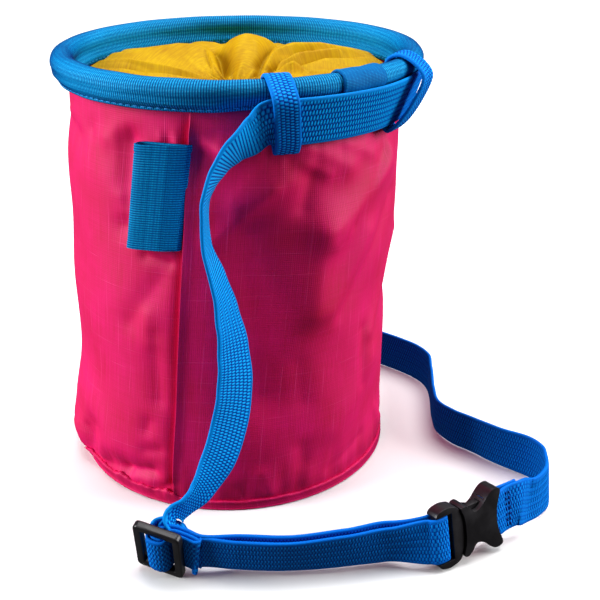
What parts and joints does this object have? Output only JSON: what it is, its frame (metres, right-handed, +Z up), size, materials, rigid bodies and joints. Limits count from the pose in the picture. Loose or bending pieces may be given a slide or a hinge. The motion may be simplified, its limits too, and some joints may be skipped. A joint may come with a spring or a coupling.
{
  "type": "climbing chalk bag",
  "caption": "Round climbing chalk bag with a padded rim, a drawn-shut collar, a brush sleeve and a webbing waist belt with a side-release buckle.",
  "frame": {"origin": "centre of the flat underside of the base, on the surface the bag stands on", "axes": "+Z up through the rim, -Y to the side that faces the camera, +X to the side loop"},
  "size_m": [0.1936, 0.2281, 0.1692],
  "materials": {
    "bag_cloth": "pink ripstop nylon with a soft sheen",
    "rim_binding": "ribbed blue binding over a padded roll",
    "rim_tape": "smooth blue tape",
    "collar_cloth": "thin yellow nylon, gathered",
    "belt_webbing": "woven blue webbing with cross ribs",
    "loop_webbing": "narrow woven blue webbing",
    "sleeve_elastic": "ribbed blue elastic",
    "black_plastic": "satin black moulded plastic"
  },
  "bodies": {
    "root": {"bag_side": "bag_cloth", "bag_base": "bag_cloth", "rim_binding": "rim_binding", "rim_join_tape": "rim_tape", "collar": "collar_cloth", "belt_adjuster": "belt_webbing", "belt_rear": "belt_webbing", "belt_front": "belt_webbing", "belt_loop_front": "loop_webbing", "belt_loop_side": "loop_webbing", "brush_sleeve": "sleeve_elastic", "strap_slider": "black_plastic", "buckle_female": "black_plastic", "buckle_male": "black_plastic"}
  },
  "joints": []
}
